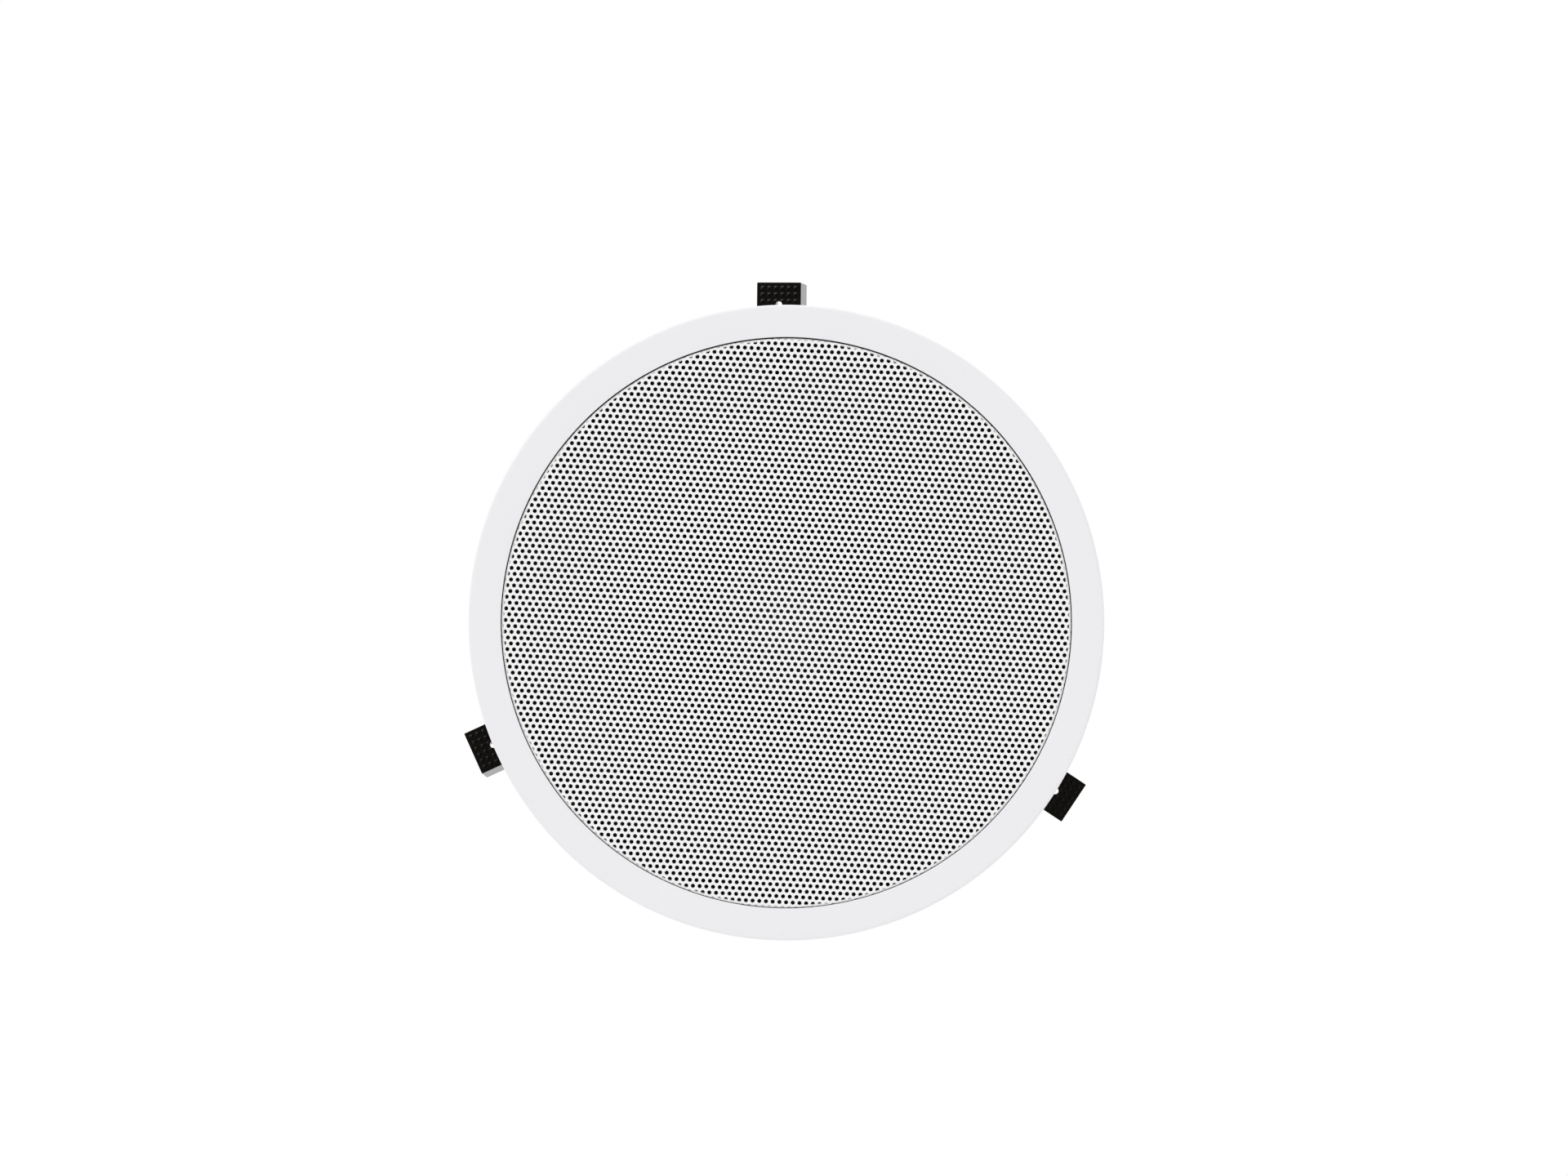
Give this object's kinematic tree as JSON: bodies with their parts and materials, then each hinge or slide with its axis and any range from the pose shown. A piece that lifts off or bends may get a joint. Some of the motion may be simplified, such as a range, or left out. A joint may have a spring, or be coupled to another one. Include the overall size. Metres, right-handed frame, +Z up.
{
  "type": "flush-mount speaker",
  "caption": "Round flush-mount coaxial loudspeaker with a white trim ring, a white perforated steel grille and swing-out clamp arms that grip the panel from behind.",
  "frame": {"origin": "centre of the speaker on the plane of the panel's front face, which the flange rests against", "axes": "+Y into the panel, so the grille faces -Y; +Z up as pictured; +X to the right seen from the front"},
  "size_m": [0.2405, 0.0804, 0.2472],
  "materials": {
    "white_abs": "satin white ABS",
    "white_powder_coat": "fine matt white powder coat",
    "black_abs": "matt black ABS",
    "black_clamp_plastic": "smooth black nylon",
    "black_foam": "closed-cell foam",
    "zinc_steel": "bright zinc plate",
    "black_painted_steel": "satin black paint",
    "black_zinc_steel": "black zinc plate",
    "ferrite": "ground ferrite",
    "cone_paper": "black treated paper",
    "surround_rubber": "matt butyl rubber",
    "spider_cloth": "resin-dipped cotton",
    "former_aluminium": "thin rolled sheet",
    "copper_wire": "enamelled copper winding",
    "dome_silk": "coated black silk",
    "tweeter_motor_steel": "plated cup",
    "brown_phenolic": "phenolic board",
    "tinned_brass": "plated brass",
    "green_laminate": "green lacquered laminate",
    "capacitor_sleeve": "shrunk sleeve",
    "white_cement": "cement body",
    "green_nylon": "moulded nylon"
  },
  "bodies": {
    "speaker_body": {"trim_ring": "white_abs", "grille": "white_powder_coat", "mounting_frame": "black_abs", "tweeter_housing": "black_abs", "tweeter_face": "black_abs", "panel_gasket": "black_foam", "woofer_gasket": "black_foam", "ring_screws": "zinc_steel", "crossover_screws": "zinc_steel", "terminal_screws": "zinc_steel", "top_plate": "zinc_steel", "yoke": "zinc_steel", "post_bolt": "zinc_steel", "tweeter_post": "zinc_steel", "basket": "black_painted_steel", "woofer_screws": "black_zinc_steel", "magnet": "ferrite", "surround": "surround_rubber", "spider": "spider_cloth", "inductor": "copper_wire", "tweeter_dome": "dome_silk", "tweeter_magnet": "tweeter_motor_steel", "terminal_strip": "brown_phenolic", "terminal_tags": "tinned_brass", "crossover_board": "green_laminate", "capacitor": "capacitor_sleeve", "resistor": "white_cement", "terminal_block": "green_nylon"},
    "cone_assembly": {"cone": "cone_paper", "coil_former": "former_aluminium", "voice_coil": "copper_wire"},
    "clamp_screw_1": {"clamp_screw_1": "black_zinc_steel", "screw_retainer_1": "zinc_steel"},
    "clamp_nut_1": {"clamp_nut_1": "tinned_brass"},
    "clamp_arm_1": {"clamp_arm_1": "black_clamp_plastic"},
    "clamp_screw_2": {"clamp_screw_2": "black_zinc_steel", "screw_retainer_2": "zinc_steel"},
    "clamp_nut_2": {"clamp_nut_2": "tinned_brass"},
    "clamp_arm_2": {"clamp_arm_2": "black_clamp_plastic"},
    "clamp_screw_3": {"clamp_screw_3": "black_zinc_steel", "screw_retainer_3": "zinc_steel"},
    "clamp_nut_3": {"clamp_nut_3": "tinned_brass"},
    "clamp_arm_3": {"clamp_arm_3": "black_clamp_plastic"}
  },
  "joints": [
    {"name": "cone_travel", "type": "slide", "parent": "speaker_body", "child": "cone_assembly", "axis": [0, -1, 0], "range_m": [-0.003, 0.003], "stiffness_N_per_m": 1200, "deforming": ["surround", "spider"]},
    {"name": "clamp_1_screw_turn", "type": "hinge", "parent": "speaker_body", "child": "clamp_screw_1", "pos_m": [-0.00198, 0, 0.09448], "axis": [0, 1, 0], "range_deg": [-7930, 5410]},
    {"name": "clamp_1_nut_travel", "type": "slide", "parent": "speaker_body", "child": "clamp_nut_1", "axis": [0, -1, 0], "range_m": [-0.0154, 0.0105]},
    {"name": "clamp_1_swing", "type": "hinge", "parent": "clamp_nut_1", "child": "clamp_arm_1", "pos_m": [-0.00198, 0, 0.09448], "axis": [0, -1, 0], "range_deg": [0, 108]},
    {"name": "clamp_2_screw_turn", "type": "hinge", "parent": "speaker_body", "child": "clamp_screw_2", "pos_m": [-0.08712, 0, -0.03662], "axis": [0, 1, 0], "range_deg": [-7930, 5410]},
    {"name": "clamp_2_nut_travel", "type": "slide", "parent": "speaker_body", "child": "clamp_nut_2", "axis": [0, -1, 0], "range_m": [-0.0154, 0.0105]},
    {"name": "clamp_2_swing", "type": "hinge", "parent": "clamp_nut_2", "child": "clamp_arm_2", "pos_m": [-0.08712, 0, -0.03662], "axis": [0, -1, 0], "range_deg": [0, 108]},
    {"name": "clamp_3_screw_turn", "type": "hinge", "parent": "speaker_body", "child": "clamp_screw_3", "pos_m": [0.0804, 0, -0.04966], "axis": [0, 1, 0], "range_deg": [-7930, 5410]},
    {"name": "clamp_3_nut_travel", "type": "slide", "parent": "speaker_body", "child": "clamp_nut_3", "axis": [0, -1, 0], "range_m": [-0.0154, 0.0105]},
    {"name": "clamp_3_swing", "type": "hinge", "parent": "clamp_nut_3", "child": "clamp_arm_3", "pos_m": [0.0804, 0, -0.04966], "axis": [0, -1, 0], "range_deg": [0, 108]}
  ],
  "couplings": [
    {"joint": "clamp_1_screw_turn", "follows": "clamp_1_nut_travel", "rad_per_m": 8976},
    {"joint": "clamp_2_screw_turn", "follows": "clamp_2_nut_travel", "rad_per_m": 8976},
    {"joint": "clamp_3_screw_turn", "follows": "clamp_3_nut_travel", "rad_per_m": 8976}
  ]
}
